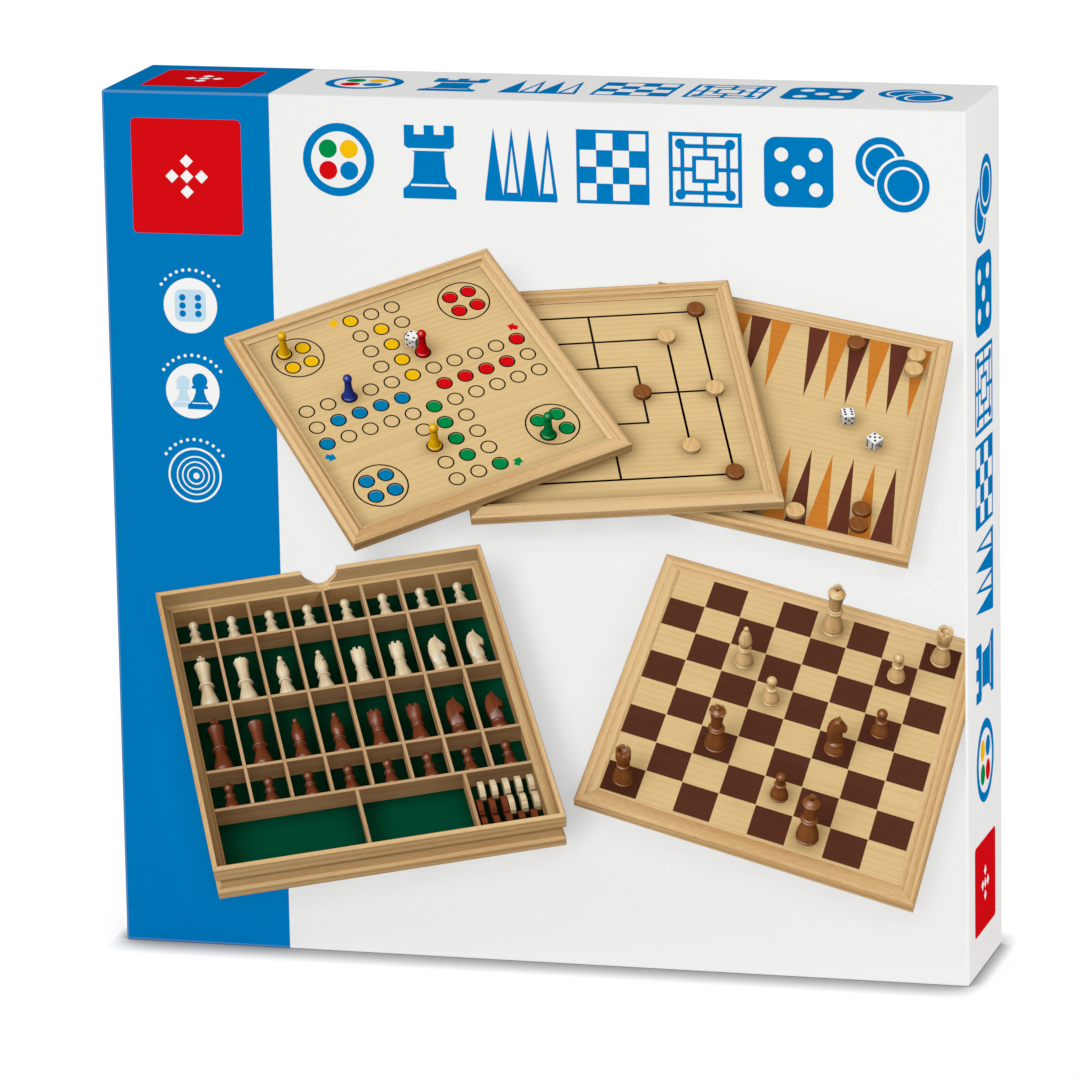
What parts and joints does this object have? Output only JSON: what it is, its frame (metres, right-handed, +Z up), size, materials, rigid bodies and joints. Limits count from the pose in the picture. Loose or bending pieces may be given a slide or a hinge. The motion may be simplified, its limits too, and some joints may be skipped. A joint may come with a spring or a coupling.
{
  "type": "games compendium box",
  "caption": "Square flat carton with a full-depth lid, holding a wooden case of chessmen and counters with double-sided boards.",
  "frame": {"origin": "middle of the bottom edge face that the upright carton stands on", "axes": "X to the right, the printed front faces -Y, Z up; the lid and all it covers come off towards -Y"},
  "size_m": [0.322, 0.06, 0.322],
  "materials": {
    "printed_card": "printed paper under a satin laminate",
    "white_card": "white paper wrap, matt",
    "leaflet_paper": "uncoated",
    "pine": "clear satin lacquer",
    "birch_ply": "plain sanded",
    "printed_ply": "printed fields under satin lacquer",
    "felt": "glued wool felt",
    "boxwood": "satin lacquer",
    "stained_wood": "stained, satin lacquer",
    "red_lacquer": "gloss lacquer",
    "blue_lacquer": "gloss lacquer",
    "yellow_lacquer": "gloss lacquer",
    "green_lacquer": "gloss lacquer",
    "white_plastic": "polished"
  },
  "bodies": {
    "base": {"base": "white_card"},
    "case": {"case_rail_top": "pine", "case_rail_bottom": "pine", "case_rail_left": "pine", "case_rail_right": "pine", "case_floor": "birch_ply", "felt_lining": "felt", "row_divider_1": "pine", "row_divider_2": "pine", "row_divider_3": "pine", "row_divider_4": "pine", "column_divider_1": "pine", "column_divider_2": "pine", "column_divider_3": "pine", "column_divider_4": "pine", "column_divider_5": "pine", "column_divider_6": "pine", "column_divider_7": "pine", "section_divider_1": "pine", "section_divider_2": "pine"},
    "chessmen": {"light_king": "boxwood", "light_queen": "boxwood", "light_bishops": "boxwood", "light_knights": "boxwood", "light_rooks": "boxwood", "light_pawns": "boxwood", "dark_king": "stained_wood", "dark_queen": "stained_wood", "dark_bishops": "stained_wood", "dark_knights": "stained_wood", "dark_rooks": "stained_wood", "dark_pawns": "stained_wood"},
    "counters": {"light_draughts": "boxwood", "dark_draughts": "stained_wood", "red_pawns": "red_lacquer", "blue_pawns": "blue_lacquer", "yellow_pawns": "yellow_lacquer", "green_pawns": "green_lacquer", "dice": "white_plastic"},
    "mill_board": {"mill_backgammon_rail_top": "pine", "mill_backgammon_rail_bottom": "pine", "mill_backgammon_rail_left": "pine", "mill_backgammon_rail_right": "pine", "mill_backgammon_panel": "printed_ply"},
    "chess_board": {"chess_ludo_rail_top": "pine", "chess_ludo_rail_bottom": "pine", "chess_ludo_rail_left": "pine", "chess_ludo_rail_right": "pine", "chess_ludo_panel": "printed_ply"},
    "leaflet": {"rules_leaflet": "leaflet_paper"},
    "lid": {"lid": "printed_card"}
  },
  "joints": [
    {"name": "case_lift", "type": "slide", "parent": "base", "child": "case", "axis": [0, -1, 0], "range_m": [0, 0.12]},
    {"name": "chessmen_lift", "type": "slide", "parent": "case", "child": "chessmen", "axis": [0, -1, 0], "range_m": [0, 0.05]},
    {"name": "counters_lift", "type": "slide", "parent": "chessmen", "child": "counters", "axis": [0, -1, 0], "range_m": [0, 0.05]},
    {"name": "mill_board_lift", "type": "slide", "parent": "counters", "child": "mill_board", "axis": [0, -1, 0], "range_m": [0, 0.1]},
    {"name": "chess_board_lift", "type": "slide", "parent": "mill_board", "child": "chess_board", "axis": [0, -1, 0], "range_m": [0, 0.1]},
    {"name": "leaflet_lift", "type": "slide", "parent": "chess_board", "child": "leaflet", "axis": [0, -1, 0], "range_m": [0, 0.1]},
    {"name": "lid_lift", "type": "slide", "parent": "leaflet", "child": "lid", "axis": [0, -1, 0], "range_m": [0, 0.15]}
  ]
}
